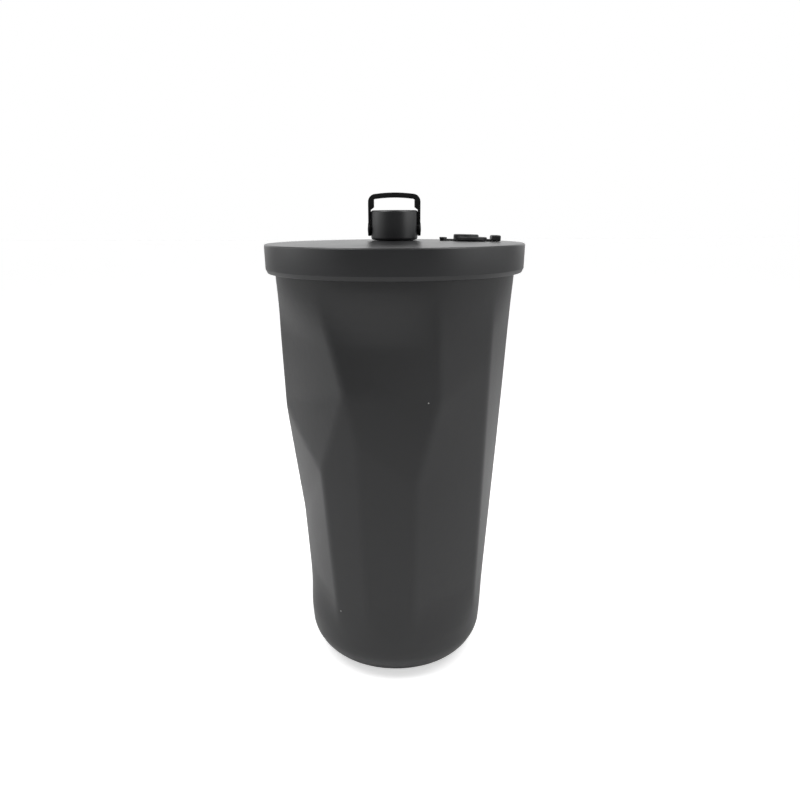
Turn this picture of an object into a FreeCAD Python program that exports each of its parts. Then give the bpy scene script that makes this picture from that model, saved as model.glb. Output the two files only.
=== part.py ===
import FreeCAD, Part
import math
import os

# Insulated drinking tumbler: a faceted double-walled steel cup, a plug-in lid, a screw cap
# with a carry loop over the straw port, and a silicone stopper over the sip hole.
# Millimetres and degrees. +Z is up, the origin is the centre of the base on the table, the
# front is -Y, and azimuth is measured from the front towards +X.

V = FreeCAD.Vector
AXIS = V(0, 0, 1)

# --- cup ---
PAD_PROUD = 0.5            # how far the silicone pad lifts the steel off the table
SHELL_WALL = 0.6
WALL_LOW_R = 35.3          # radius of the wall's cone where it would meet the base plane
WALL_HIGH_R = 45.35        # and under the lid's skirt
WALL_HIGH_Z = 158.2
WALL_SLOPE = (WALL_HIGH_R - WALL_LOW_R) / (WALL_HIGH_Z - PAD_PROUD)
BASE_EDGE_R = 13.0         # rounding between the wall and the base
SHELL_TOP_Z = 165.6
LIP_TOP_Z = 166.6

# --- soft facets of the shell ---
FLATNESS = 0.8             # 1 is a true flat between ridges, 0 is the plain cone
CREASE_SOFT = 1.4          # radius over which a ridge is rounded off
FACET_TOP = (156.5, 134.0)     # the facets start under the rim and are full lower down
FACET_BOTTOM = (17.0, 36.0)    # and fade out above the base edge

# Ridge corners: azimuth, height, and how far the corner stands off the cone.
CORNERS = {
    "T0": (-82, 158, 0.0), "T1": (-38, 158, 0.0), "T2": (18.5, 158, 0.0), "T3": (50, 158, 0.0),
    "T4": (84, 158, 0.0), "T5": (115, 158, 0.0), "T6": (150, 158, 0.0), "T7": (188, 158, 0.0),
    "T8": (232, 158, 0.0),
    "A0": (-84, 107, 2.3), "A1": (-24, 119, 0.9), "A2": (20.5, 116, 0.9), "A3": (51, 129, 0.5),
    "A4": (84, 112, 0.3), "A5": (115, 109, 1.0), "A6": (150, 123, 0.8), "A7": (190, 110, 1.2),
    "A8": (232, 122, 0.8),
    "M1": (-18.5, 101, 0.4), "B1": (-41, 88, 0.8), "B2": (9.8, 85, 0.6), "B3": (54, 87, 0.4),
    "B4": (85, 91, 0.4), "B5": (131, 88, 0.6), "B6": (176, 82, 0.6), "B7": (218, 87, 0.6),
    "C0": (-94, 58, 0.0),
    "E0": (-94, 12, 0.0), "E1": (-37.5, 12, 0.0), "E2": (-17, 12, 0.0), "E3": (10, 12, 0.0),
    "E4": (61, 12, 0.0), "E5": (86, 12, 0.0), "E6": (130, 12, 0.0), "E7": (175, 12, 0.0),
    "E8": (220, 12, 0.0),
}
FACETS = [
    "T0 T1 A1 A0", "T1 A1 A2 T2", "T2 A2 A3 T3", "T3 A3 A4 T4", "T4 A4 A5 T5", "T5 A5 A6 T6",
    "T6 A6 A7 T7", "T7 A7 A8 T8", "T8 A8 A0 T0",
    "A0 A1 B1", "A1 M1 B1", "A1 A2 B2 M1", "A2 A3 B3 B2", "A3 A4 B4 B3", "A4 A5 B5 B4",
    "A5 A6 B5", "A6 A7 B6 B5", "A7 A8 B7 B6", "A8 A0 B7", "A0 C0 B7", "A0 B1 C0",
    "C0 B1 E1 E0", "B1 M1 E2 E1", "M1 B2 E3 E2", "B2 B3 E4 E3", "B3 B4 E5 E4", "B4 B5 E6 E5",
    "B5 B6 E7 E6", "B6 B7 E8 E7", "B7 C0 E0 E8",
]
SHELL_COLUMNS = 120        # section points round the shell
SHELL_ROW_STEP = 3.6       # height between section rings

# --- liner, base and vacuum parts ---
LINER_WALL = 0.5
LINER_FLOOR_Z = 8.0
LINER_LOW_R = 27.4
LINER_HIGH_R = 37.2
LINER_SHOULDER_Z = 144.0
MOUTH_R = 42.4             # mouth bore at the shoulder
MOUTH_TOP_R = 44.1         # and at the lip
MOUTH_LOW_Z = 150.4
LIP_OUT_R = 45.95
DIMPLE_R = 9.0
DIMPLE_RISE = 1.6
PORT_R = 0.8               # evacuation hole
PAD_R = 22.4

# --- lid ---
LID_R = 49.0
LID_EDGE_Z = 168.8
DOME_RISE = 0.9
LID_TOP_Z = LID_EDGE_Z + DOME_RISE
COVER_WALL = 1.8
SKIRT_LOW_Z = 158.4
SKIRT_LIP = (0.9, 1.5)     # width and height of the slanted lip under the skirt
SKIRT_DRAFT = 0.2
SKIRT_IN_R = 47.1
PLUG_GAP = 0.8             # between the plug and the mouth bore
GASKET_GAP = 0.3           # between the relaxed gasket lips and the bore
PLUG_WALL = 1.6
PLUG_LOW_Z = 151.0
GROOVE_Z = (155.4, 160.6)
GROOVE_DEPTH = 1.3

# --- straw port, its cap and the carry loop ---
NECK_BORE_R = 4.2
NECK_R = 6.1
NECK_TOP_Z = 177.8
NECK_FLANGE_R = 8.5
THREAD_PITCH = 3.0
THREAD_TURNS = 1.25
THREAD_Z = 171.8           # middle of the neck ridge where it starts
NECK_CREST_R = 6.8
CAP_CREST_R = 6.4
CAP_BORE_R = 7.1
CAP_R = 8.8
CAP_LOW_Z = 169.9
CAP_TOP_Z = 180.7
CAP_ROOF = 1.6
SEAL_THICK = 1.2
PIN_Z = 173.8
PIN_R = 0.9
PIN_IN_X = 7.5
LOOP_OUT_X = 9.8
LOOP_ARM_X = 9.05          # inner face of the thin arms beside the cap
LOOP_EYE_X = 7.6           # inner face of the thicker loop above the cap
LOOP_TOP_Z = 187.1
LOOP_BAR = 1.9
LOOP_DEPTH = 3.6
BOSS_R = 2.45
BOSS_OUT_X = 10.05

# --- sip stopper, laid out along the lid's slope ---
SIP_X = 28.9
SIP_R = 4.0
ANCHOR_X = 18.5
HINGE_X = 21.3             # line about which the strap bends
HINGE_SPAN = 0.5           # length of bare strap left out on each side of it
STRAP_WIDTH = 5.0
STRAP_THICK = 0.5


def outline(corners):
    """Closed wire in the XZ plane. A corner is (x, z) or (x, z, rounding radius)."""
    count = len(corners)
    starts, ends, arcs = [], [], []
    for i in range(count):
        here = V(corners[i][0], 0, corners[i][1])
        if len(corners[i]) == 2:
            starts.append(here)
            ends.append(here)
            arcs.append(None)
            continue
        radius = corners[i][2]
        before = V(corners[i - 1][0], 0, corners[i - 1][1])
        after = V(corners[(i + 1) % count][0], 0, corners[(i + 1) % count][1])
        back = (before - here).normalize()
        on = (after - here).normalize()
        half = math.acos(max(-1.0, min(1.0, back.dot(on)))) / 2
        reach = radius / math.tan(half)
        middle = here + (back + on).normalize() * (radius / math.sin(half) - radius)
        starts.append(here + back * reach)
        ends.append(here + on * reach)
        arcs.append(middle)
    edges = []
    for i in range(count):
        if arcs[i] is not None:
            edges.append(Part.Arc(starts[i], arcs[i], ends[i]).toShape())
        nxt = (i + 1) % count
        if (starts[nxt] - ends[i]).Length > 1e-6:
            edges.append(Part.LineSegment(ends[i], starts[nxt]).toShape())
    return Part.Wire(edges)


def turned(corners):
    """Solid of revolution about the object's axis, from an outline of (radius, height)."""
    return Part.Face(outline(corners)).revolve(V(0, 0, 0), AXIS, 360)


def plate(corners, depth):
    """Flat plate from an XZ outline, centred on y = 0."""
    face = Part.Face(outline(corners))
    face.translate(V(0, -depth / 2, 0))
    return face.extrude(V(0, depth, 0))


def rod(radius, low, high, x=0.0, y=0.0):
    """Upright round bar."""
    return Part.makeCylinder(radius, high - low, V(x, y, low), AXIS)


def cross_rod(radius, x_from, x_to, z):
    """Round bar along X."""
    return Part.makeCylinder(radius, x_to - x_from, V(x_from, 0, z), V(1, 0, 0))


def dome_z(radius):
    """Height of the lid's domed top at a radius."""
    sphere = ((LID_R - 1) ** 2 + DOME_RISE ** 2) / (2 * DOME_RISE)
    return LID_TOP_Z - sphere + math.sqrt(sphere ** 2 - radius ** 2)


def save(name, shape):
    """Write one sub-part."""
    if not shape.isValid():
        print("NOT VALID", name)
    shape.exportStep("parts/" + name + ".step")
    print(name, "solids", len(shape.Solids), "cm3", round(shape.Volume / 1000, 3))


# ---------------------------------------------------------------- faceted shell

def cone_r(z):
    """Radius of the plain wall cone."""
    return WALL_LOW_R + WALL_SLOPE * (z - PAD_PROUD)


def corner_point(name):
    """Ridge corner in space."""
    azimuth, z, stand = CORNERS[name]
    angle = math.radians(azimuth)
    radius = cone_r(z) + stand
    return (radius * math.sin(angle), -radius * math.cos(angle), z)


def facet_patches():
    """Facets as four-sided patches a + u e + v f + u v g, bowed where their corners are not level."""
    patches = []
    for facet in FACETS:
        points = [corner_point(name) for name in facet.split()]
        first, second, third = points[:3]
        fourth = points[3] if len(points) == 4 else first
        e = [second[k] - first[k] for k in range(3)]
        f = [fourth[k] - first[k] for k in range(3)]
        g = [third[k] - second[k] - f[k] for k in range(3)]
        patches.append((first, e, f, g))
    return patches


PATCHES = facet_patches()


def quadratic_roots(square, linear, constant):
    """Real roots, for any of the coefficients being zero."""
    under = linear * linear - 4 * square * constant
    if under < 0:
        return []
    half = -(linear + math.copysign(math.sqrt(under), linear)) / 2
    roots = []
    if abs(square) > 1e-9:
        roots.append(half / square)
    if abs(half) > 1e-9:
        roots.append(constant / half)
    return roots


def flat_r(angle, z):
    """Distance from the axis to the facets, level with z (angle in radians)."""
    dx, dy = math.sin(angle), -math.cos(angle)
    best, found = -1e9, cone_r(z)
    for a, e, f, g in PATCHES:
        # sideways offsets from the ray, which have to add up to nothing
        a_side, e_side, f_side, g_side = [dx * w[1] - dy * w[0] for w in (a, e, f, g)]
        rise = z - a[2]
        roots = quadratic_roots(
            e_side * g[2] - e[2] * g_side,
            a_side * g[2] + e_side * f[2] + rise * g_side - e[2] * f_side,
            a_side * f[2] + rise * f_side,
        )
        for u in roots:
            low, side = f[2] + u * g[2], f_side + u * g_side
            if max(abs(low), abs(side)) < 1e-9:
                continue
            v = (rise - u * e[2]) / low if abs(low) > abs(side) else -(a_side + u * e_side) / side
            inside = min(u, v, 1 - u, 1 - v)
            x, y = [a[k] + u * e[k] + v * f[k] + u * v * g[k] for k in (0, 1)]
            reach = dx * x + dy * y
            if reach > 0 and inside > best:
                best, found = inside, reach
    return found


def ease(value, start, end):
    """Smooth step from 0 at start to 1 at end."""
    t = max(0.0, min(1.0, (value - start) / (end - start)))
    return t * t * (3 - 2 * t)


def shell_r(angle, z):
    """Outside radius of the faceted wall."""
    weight = FLATNESS * ease(z, *FACET_TOP) * ease(z, *FACET_BOTTOM)
    if weight == 0:
        return cone_r(z)
    total = 2 * flat_r(angle, z)
    for i in range(6):
        turn = math.radians(60 * i)
        side = CREASE_SOFT * math.cos(turn) / cone_r(z)
        total += flat_r(angle + side, z + CREASE_SOFT * math.sin(turn))
    return cone_r(z) + weight * (total / 8 - cone_r(z))


def shell_profile(inset):
    """Wall profile rings (radius, height) from the base edge up, moved inwards by inset."""
    lean = math.atan(WALL_SLOPE)
    centre_z = PAD_PROUD + BASE_EDGE_R
    # the rounding touches the wall where its radius points square to the wall
    centre_r = cone_r(centre_z) - BASE_EDGE_R / math.cos(lean)
    radius = BASE_EDGE_R - inset
    rings = []
    steps = 9
    for i in range(steps + 1):
        turn = math.radians(-90) + (math.radians(90) - lean) * i / steps
        rings.append((centre_r + radius * math.cos(turn), centre_z + radius * math.sin(turn)))
    start_z = rings[-1][1]
    rows = int((SHELL_TOP_Z - start_z) / SHELL_ROW_STEP)
    for i in range(1, rows + 1):
        rings.append((None, start_z + (SHELL_TOP_Z - start_z) * i / rows))
    return rings


def shell_skin(inset):
    """One skin of the shell as a spline face, closed round the axis."""
    lean = math.atan(WALL_SLOPE)
    poles = []
    for radius, z in shell_profile(inset):
        row = []
        for i in range(SHELL_COLUMNS):
            angle = 2 * math.pi * i / SHELL_COLUMNS
            r = radius
            if r is None:
                r = shell_r(angle, z) - inset / math.cos(lean)
            row.append(V(r * math.sin(angle), -r * math.cos(angle), z))
        poles.append(row)
    rows = len(poles)
    up_knots = list(range(rows - 2))
    up_mults = [4] + [1] * (rows - 4) + [4]
    round_knots = list(range(SHELL_COLUMNS + 1))
    round_mults = [1] * (SHELL_COLUMNS + 1)
    surface = Part.BSplineSurface()
    surface.buildFromPolesMultsKnots(poles, up_mults, round_mults, up_knots, round_knots,
                                     False, True, 3, 3)
    return surface.toShape()


def ring_edge(face, highest):
    """Top or bottom ring edge of a skin."""
    rings = [edge for edge in face.Edges if edge.isClosed()]
    rings.sort(key=lambda edge: edge.Vertexes[0].Z)
    return rings[-1] if highest else rings[0]


def outer_shell():
    """Faceted shell with its rolled-in base edge."""
    outside = shell_skin(0.0)
    inside = shell_skin(SHELL_WALL)
    faces = [outside, inside]
    for highest in (True, False):
        faces.append(Part.makeRuledSurface(ring_edge(outside, highest), ring_edge(inside, highest)))
    sewn = Part.makeShell(faces)
    sewn.sewShape()
    solid = Part.makeSolid(sewn)
    if solid.Volume < 0:
        solid.reverse()
    return solid


# ---------------------------------------------------------------- rest of the cup

def inner_liner():
    """Drawn liner: floor, tapered wall, shoulder, straight mouth and a lip over the shell."""
    wall = LINER_WALL
    return turned([
        (0, LINER_FLOOR_Z), (LINER_LOW_R, LINER_FLOOR_Z, 9), (LINER_HIGH_R, LINER_SHOULDER_Z, 4),
        (MOUTH_R, MOUTH_LOW_Z, 3), (MOUTH_TOP_R, LIP_TOP_Z, 0.4), (LIP_OUT_R, LIP_TOP_Z, 0.4),
        (LIP_OUT_R, SHELL_TOP_Z), (MOUTH_TOP_R + wall, SHELL_TOP_Z),
        (MOUTH_R + wall, MOUTH_LOW_Z, 3.2), (LINER_HIGH_R + wall, LINER_SHOULDER_Z, 3.8),
        (LINER_LOW_R + wall, LINER_FLOOR_Z - wall, 9.4), (0, LINER_FLOOR_Z - wall),
    ])


def base_open_r():
    """Radius at which the shell's rolled-in edge ends and the base disc starts."""
    return shell_profile(0.0)[0][0]


def outer_base():
    """Pressed base disc with a raised centre and the evacuation hole."""
    low, high = PAD_PROUD, PAD_PROUD + SHELL_WALL
    edge = base_open_r() - 0.03
    return turned([
        (PORT_R, low + DIMPLE_RISE), (DIMPLE_R - 1.5, low + DIMPLE_RISE, 0.8), (DIMPLE_R, low, 0.8),
        (edge, low), (edge, high), (DIMPLE_R + 0.4, high, 0.8),
        (DIMPLE_R - 1.1, high + DIMPLE_RISE, 0.8), (PORT_R, high + DIMPLE_RISE),
    ])


def vacuum_bead():
    """Solder-glass bead in the evacuation hole, spread inside the raised centre."""
    low = PAD_PROUD + DIMPLE_RISE
    return turned([
        (0, low - 0.9), (1.8, low - 0.7, 0.3), (2.2, low), (PORT_R, low), (PORT_R, low + SHELL_WALL),
        (0, low + SHELL_WALL),
    ])


def getter():
    """Getter capsule welded to the inside of the base disc."""
    floor = PAD_PROUD + SHELL_WALL
    return rod(3.2, floor, floor + 1.5, x=14.5)


def base_pad():
    """Silicone pad with a moulded ring on its underside."""
    pad = turned([(0, 0), (PAD_R, 0, 0.2), (PAD_R, PAD_PROUD), (0, PAD_PROUD)])
    groove = turned([(PAD_R - 3.4, -1), (PAD_R - 2.4, -1), (PAD_R - 2.4, 0.2), (PAD_R - 3.4, 0.2)])
    return pad.cut(groove)


# ---------------------------------------------------------------- lid

def dome_corners(drop):
    """Centre, knee and rim of the domed top lowered by drop; the knee is rounded to the dome."""
    reach = LID_R - 1
    sphere = (reach ** 2 + DOME_RISE ** 2) / (2 * DOME_RISE)
    return [(0, LID_TOP_Z - drop), (reach / 2, LID_TOP_Z - drop, sphere * 0.995)]


def lid_cover():
    """Domed cover with its overhanging skirt and the three holes."""
    edge_z = LID_EDGE_Z - DOME_RISE / (LID_R - 1)
    under_z = dome_z(SKIRT_IN_R) - COVER_WALL
    cover = turned(dome_corners(0) + [
        (LID_R, edge_z, 1.0), (LID_R - SKIRT_DRAFT, SKIRT_LOW_Z + SKIRT_LIP[1], 0.4),
        (LID_R - SKIRT_LIP[0], SKIRT_LOW_Z, 0.3), (SKIRT_IN_R, SKIRT_LOW_Z), (SKIRT_IN_R, under_z, 1.0),
    ] + dome_corners(COVER_WALL)[::-1])
    holes = [rod(NECK_R + 0.05, 160, 180), rod(SIP_R, 160, 180, x=SIP_X),
             rod(1.2, 160, 180, x=ANCHOR_X)]
    return cover.cut(Part.makeCompound(holes))


def mouth_bore(z):
    """Radius of the liner's mouth at a height."""
    return MOUTH_R + (MOUTH_TOP_R - MOUTH_R) * (z - MOUTH_LOW_Z) / (LIP_TOP_Z - MOUTH_LOW_Z)


def plug_r(z):
    """Outside radius of the lid's plug, tapered like the mouth."""
    return mouth_bore(z) - PLUG_GAP


def lid_plug():
    """Moulded underside of the lid: plug wall with a gasket groove, floor and two passages."""
    top = dome_z(plug_r(LIP_TOP_Z)) - COVER_WALL
    low, high = GROOVE_Z
    floor_top = PLUG_LOW_Z + PLUG_WALL
    groove_r = plug_r(low) - GROOVE_DEPTH
    step_z = high + 1.5
    shell = turned([
        (0, PLUG_LOW_Z), (plug_r(PLUG_LOW_Z), PLUG_LOW_Z, 2), (plug_r(low), low), (groove_r, low),
        (groove_r, high), (plug_r(high), high), (plug_r(top), top), (plug_r(top) - PLUG_WALL, top),
        (plug_r(step_z) - PLUG_WALL, step_z), (groove_r - PLUG_WALL, step_z),
        (groove_r - PLUG_WALL, floor_top, 1.5), (0, floor_top),
    ])
    neck_boss = rod(NECK_R + 2.4, PLUG_LOW_Z, dome_z(0) - COVER_WALL - 1.6)
    sip_boss = rod(SIP_R + 1.3, PLUG_LOW_Z, dome_z(SIP_X) - COVER_WALL - 0.7, x=SIP_X)
    solid = shell.fuse([neck_boss, sip_boss])
    seal_seat = rod(NECK_R + 1.0, PLUG_LOW_Z + 2, PLUG_LOW_Z + 3.6)
    cuts = [rod(NECK_R + 0.05, 140, 175), seal_seat, rod(SIP_R, 140, 175, x=SIP_X)]
    return solid.cut(Part.makeCompound(cuts))


def lid_foam():
    """Insulating disc sealed between the cover and the plug."""
    low, high = PLUG_LOW_Z + PLUG_WALL + 0.2, dome_z(LID_R - 5) - COVER_WALL - 0.2
    foam = rod(plug_r(GROOVE_Z[0]) - GROOVE_DEPTH - PLUG_WALL - 1.2, low, high)
    holes = [rod(NECK_FLANGE_R + 0.3, 140, 175), rod(SIP_R + 1.6, 140, 175, x=SIP_X),
             rod(2.4, 140, 175, x=ANCHOR_X)]
    return foam.cut(Part.makeCompound(holes))


def lid_gasket():
    """Silicone ring in the plug's groove with two lips towards the mouth."""
    low, high = GROOVE_Z[0] + 0.1, GROOVE_Z[1] - 0.1
    back = plug_r(GROOVE_Z[0]) - GROOVE_DEPTH + 0.05
    corners = [(back, low), (plug_r(low) - 0.2, low)]
    for lip_z in (low + 1.0, low + 4.0):
        tip = mouth_bore(lip_z) - GASKET_GAP
        corners += [(plug_r(lip_z - 0.6) - 0.2, lip_z - 0.6), (tip, lip_z, 0.15),
                    (tip - 0.05, lip_z + 0.5, 0.15), (plug_r(lip_z + 0.4) - 0.2, lip_z + 0.4)]
    corners += [(plug_r(high) - 0.2, high), (back, high)]
    return turned(corners)


def thread_ridge(root_r, crest_r, start_z):
    """Helical thread ridge from a wall at root_r to a crest, sunk a little into the wall."""
    sunk = root_r - 0.2 if crest_r > root_r else root_r + 0.2
    helix = Part.makeHelix(THREAD_PITCH, THREAD_PITCH * THREAD_TURNS, root_r)
    profile = Part.Wire(Part.makePolygon([
        V(sunk, 0, -0.65), V(crest_r, 0, -0.25), V(crest_r, 0, 0.25), V(sunk, 0, 0.65),
        V(sunk, 0, -0.65)]))
    ridge = Part.Wire(helix.Edges).makePipeShell([profile], True, True)
    ridge.translate(V(0, 0, start_z))
    return ridge


def spout_neck():
    """Threaded neck of the straw port, with the flange that holds it under the cover."""
    under = LID_TOP_Z - COVER_WALL
    neck = turned([
        (NECK_BORE_R, PLUG_LOW_Z - 0.4), (NECK_R, PLUG_LOW_Z - 0.4, 0.4), (NECK_R, under - 1.5),
        (NECK_FLANGE_R, under - 1.5), (NECK_FLANGE_R, under - 0.06), (NECK_R, under - 0.06),
        (NECK_R, NECK_TOP_Z, 0.5), (NECK_BORE_R, NECK_TOP_Z, 0.4),
    ])
    return neck.fuse(thread_ridge(NECK_R, NECK_CREST_R, THREAD_Z))


def neck_gasket():
    """Sealing ring between the neck and the plug."""
    low = PLUG_LOW_Z + 2.1
    return turned([
        (NECK_R + 0.03, low), (NECK_R + 0.95, low, 0.3), (NECK_R + 0.95, low + 1.4, 0.3),
        (NECK_R + 0.03, low + 1.4),
    ])


def port_seal():
    """Flat ring between the cover and the sip passage."""
    high = dome_z(SIP_X + SIP_R + 1.2) - COVER_WALL - 0.03
    low = dome_z(SIP_X) - COVER_WALL - 0.7
    return rod(SIP_R + 1.2, low, high, x=SIP_X).cut(rod(SIP_R + 0.1, 140, 175, x=SIP_X))


# ---------------------------------------------------------------- straw-port cap and loop

def screw_cap():
    """Round cap with its thread ridge and the blind holes of the loop's pins."""
    roof = CAP_TOP_Z - CAP_ROOF
    cap = turned([
        (CAP_BORE_R, CAP_LOW_Z), (CAP_R, CAP_LOW_Z, 1.0), (CAP_R, CAP_TOP_Z, 0.9), (0, CAP_TOP_Z),
        (0, roof), (CAP_BORE_R, roof),
    ])
    cap = cap.fuse(thread_ridge(CAP_BORE_R, CAP_CREST_R, THREAD_Z + THREAD_PITCH / 2))
    holes = [cross_rod(PIN_R, PIN_IN_X, CAP_R + 1, PIN_Z), cross_rod(PIN_R, -CAP_R - 1, -PIN_IN_X, PIN_Z)]
    return cap.cut(Part.makeCompound(holes))


def cap_seal():
    """Silicone disc that the cap presses on the neck."""
    low = NECK_TOP_Z + 0.1
    return turned([(0, low), (CAP_BORE_R - 0.3, low, 0.2), (CAP_BORE_R - 0.3, low + SEAL_THICK, 0.2),
                   (0, low + SEAL_THICK)])


def loop_pins():
    """Two hinge pins pressed into the cap."""
    out = BOSS_OUT_X
    return Part.makeCompound([cross_rod(PIN_R, PIN_IN_X, out, PIN_Z),
                              cross_rod(PIN_R, -out, -PIN_IN_X, PIN_Z)])


def carry_loop():
    """Loop with thin arms beside the cap, round hinge bosses and a slightly arched bar."""
    arch = 0.45
    eye_low = CAP_TOP_Z + 1.1
    step_low = CAP_TOP_Z + 0.2
    inner_top = LOOP_TOP_Z - LOOP_BAR
    frame = plate([
        (-LOOP_OUT_X, PIN_Z), (-LOOP_OUT_X, LOOP_TOP_Z - arch, 2.9), (0, LOOP_TOP_Z + 0.1, 90),
        (LOOP_OUT_X, LOOP_TOP_Z - arch, 2.9), (LOOP_OUT_X, PIN_Z), (LOOP_ARM_X, PIN_Z),
        (LOOP_ARM_X, step_low, 0.5), (LOOP_EYE_X, eye_low, 0.5),
        (LOOP_EYE_X, inner_top - arch, 1.2), (0, inner_top + 0.1, 60),
        (-LOOP_EYE_X, inner_top - arch, 1.2), (-LOOP_EYE_X, eye_low, 0.5),
        (-LOOP_ARM_X, step_low, 0.5), (-LOOP_ARM_X, PIN_Z),
    ], LOOP_DEPTH)
    bosses = [cross_rod(BOSS_R, LOOP_ARM_X, BOSS_OUT_X, PIN_Z),
              cross_rod(BOSS_R, -BOSS_OUT_X, -LOOP_ARM_X, PIN_Z)]
    return frame.fuse(bosses).cut(cross_rod(PIN_R + 0.05, -12, 12, PIN_Z))


# ---------------------------------------------------------------- sip stopper

def on_slope(shape):
    """Place a shape drawn on a flat lid (z = 0 is the surface) on the dome beside the sip hole."""
    sphere = ((LID_R - 1) ** 2 + DOME_RISE ** 2) / (2 * DOME_RISE)
    slope = math.degrees(math.asin(SIP_X / sphere))
    placed = shape.copy()
    placed.translate(V(0, 0, dome_z(SIP_X)))
    placed.rotate(V(SIP_X, 0, dome_z(SIP_X)), V(0, 1, 0), slope)
    return placed


def block(x_from, x_to, width, low, high):
    """Box centred on y = 0."""
    return Part.makeBox(x_to - x_from, width, high - low, V(x_from, -width / 2, low))


def stopper_anchor():
    """Button head, stem and holding bulb, with the fixed end of the strap."""
    head = rod(1.45, 0.1, 1.25, x=ANCHOR_X)
    stem = rod(1.1, -3.0, 0.2, x=ANCHOR_X)
    bulb = Part.makeCone(2.0, 1.0, 1.6, V(ANCHOR_X, 0, -2.35), V(0, 0, -1))
    end_x = HINGE_X - HINGE_SPAN
    strap = block(ANCHOR_X, end_x, STRAP_WIDTH, 0.1, 0.1 + STRAP_THICK)
    strap = strap.fuse(rod(STRAP_WIDTH / 2, 0.1, 0.1 + STRAP_THICK, x=ANCHOR_X))
    strap = strap.common(block(ANCHOR_X - 1.9, end_x, STRAP_WIDTH, 0, 1))
    return on_slope(strap.fuse([head, stem, bulb]).removeSplitter())


def sip_stopper():
    """Free end of the strap, two-tier plug disc with its stem, tab and grip block."""
    lower = rod(6.2, 0.1, 1.5, x=SIP_X)
    upper = rod(4.75, 0.1, 2.4, x=27.2)
    stem = Part.makeCone(3.6, 2.9, 3.6, V(SIP_X, 0, 0.2), V(0, 0, -1))
    strap = block(HINGE_X + HINGE_SPAN, SIP_X, STRAP_WIDTH, 0.1, 0.1 + STRAP_THICK)
    tab = block(SIP_X, 38.0, 4.6, 0.1, 0.8)
    grip = block(36.6, 40.1, 6.0, 0.1, 2.3)
    corners = [edge for edge in grip.Edges if abs(edge.BoundBox.ZLength) > 1]
    grip = grip.makeFillet(0.7, corners)
    return on_slope(lower.fuse([upper, stem, strap, tab, grip]).removeSplitter())


SUBPARTS = [
    outer_shell, inner_liner, outer_base, getter, vacuum_bead, base_pad,
    lid_cover, lid_plug, lid_foam, lid_gasket, spout_neck, neck_gasket, port_seal,
    screw_cap, cap_seal, loop_pins, carry_loop, stopper_anchor, sip_stopper,
]

if __name__ == "__main__":
    os.makedirs("parts", exist_ok=True)
    for make in SUBPARTS:
        save(make.__name__, make())
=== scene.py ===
"""Faceted travel tumbler: matte black cup, plug-in lid, loop cap and silicone sip stopper."""
import logging
import math
from dataclasses import dataclass
from enum import Enum
from typing import Any, Optional, Sequence, Union

import bpy
import numpy as np
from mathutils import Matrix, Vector


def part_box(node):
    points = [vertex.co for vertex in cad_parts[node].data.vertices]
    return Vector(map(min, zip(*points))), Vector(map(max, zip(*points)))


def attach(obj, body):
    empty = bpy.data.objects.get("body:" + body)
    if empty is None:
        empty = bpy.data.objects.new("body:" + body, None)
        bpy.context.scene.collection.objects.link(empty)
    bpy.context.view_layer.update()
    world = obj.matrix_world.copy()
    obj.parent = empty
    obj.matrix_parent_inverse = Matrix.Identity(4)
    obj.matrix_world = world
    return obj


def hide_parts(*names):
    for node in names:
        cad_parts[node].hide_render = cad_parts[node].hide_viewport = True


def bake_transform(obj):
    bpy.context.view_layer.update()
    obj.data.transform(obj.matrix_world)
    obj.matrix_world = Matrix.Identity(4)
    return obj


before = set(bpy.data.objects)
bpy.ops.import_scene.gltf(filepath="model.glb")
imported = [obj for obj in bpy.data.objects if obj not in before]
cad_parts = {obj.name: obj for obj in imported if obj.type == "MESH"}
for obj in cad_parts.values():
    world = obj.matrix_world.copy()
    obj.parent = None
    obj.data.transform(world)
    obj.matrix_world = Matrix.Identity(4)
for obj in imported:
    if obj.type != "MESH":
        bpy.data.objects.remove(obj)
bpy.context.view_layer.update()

MM = 0.001
log = logging.getLogger("tumbler")


class Body(Enum):
    """The rigid bodies that the made pieces ride on."""

    CUP = "cup"
    LID = "lid"
    CAP = "cap"
    LOOP = "loop"
    STOPPER = "stopper"


class Slot(Enum):
    """The record's slots, one listed with each made piece."""

    POWDER_COAT = "powder_coat"
    LINER_STEEL = "liner_steel"
    LID_BLACK = "lid_black"
    CAP_BLACK = "cap_black"
    LOOP_BLACK = "loop_black"
    PIN_STEEL = "pin_steel"
    SILICONE = "black_silicone"


# ------------------------------------------------------------------ modelling bench


@dataclass(frozen=True)
class Corner:
    """A corner of an outline, in millimetres.

    Args:
        r: distance from the axis.
        z: height.
        bend: rounding radius, 0 for a sharp corner.
        steps: segments in the rounding.
    """

    r: float
    z: float
    bend: float = 0.0
    steps: int = 6


def rounded(corners: Sequence[Corner], closed: bool) -> list[Vector]:
    """Turns corners into the points of an outline.

    Args:
        corners: the corners in order.
        closed: whether the last corner joins the first.

    Returns:
        Points (r, 0, z) in metres.
    """
    points: list[Vector] = []
    count = len(corners)
    for i, corner in enumerate(corners):
        here = Vector((corner.r, 0, corner.z))
        if corner.bend == 0 or (not closed and i in (0, count - 1)):
            points.append(here * MM)
            continue
        before, after = corners[i - 1], corners[(i + 1) % count]
        back = (Vector((before.r, 0, before.z)) - here).normalized()
        onward = (Vector((after.r, 0, after.z)) - here).normalized()
        half = back.angle(onward) / 2
        centre = here + (back + onward).normalized() * (corner.bend / math.sin(half))
        start = here + back * (corner.bend / math.tan(half)) - centre
        end = here + onward * (corner.bend / math.tan(half)) - centre
        turn = start.angle(end)
        for k in range(corner.steps + 1):
            t = k / corner.steps
            spoke = start * math.sin((1 - t) * turn) + end * math.sin(t * turn)
            points.append((centre + spoke / math.sin(turn)) * MM)
    return points


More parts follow.
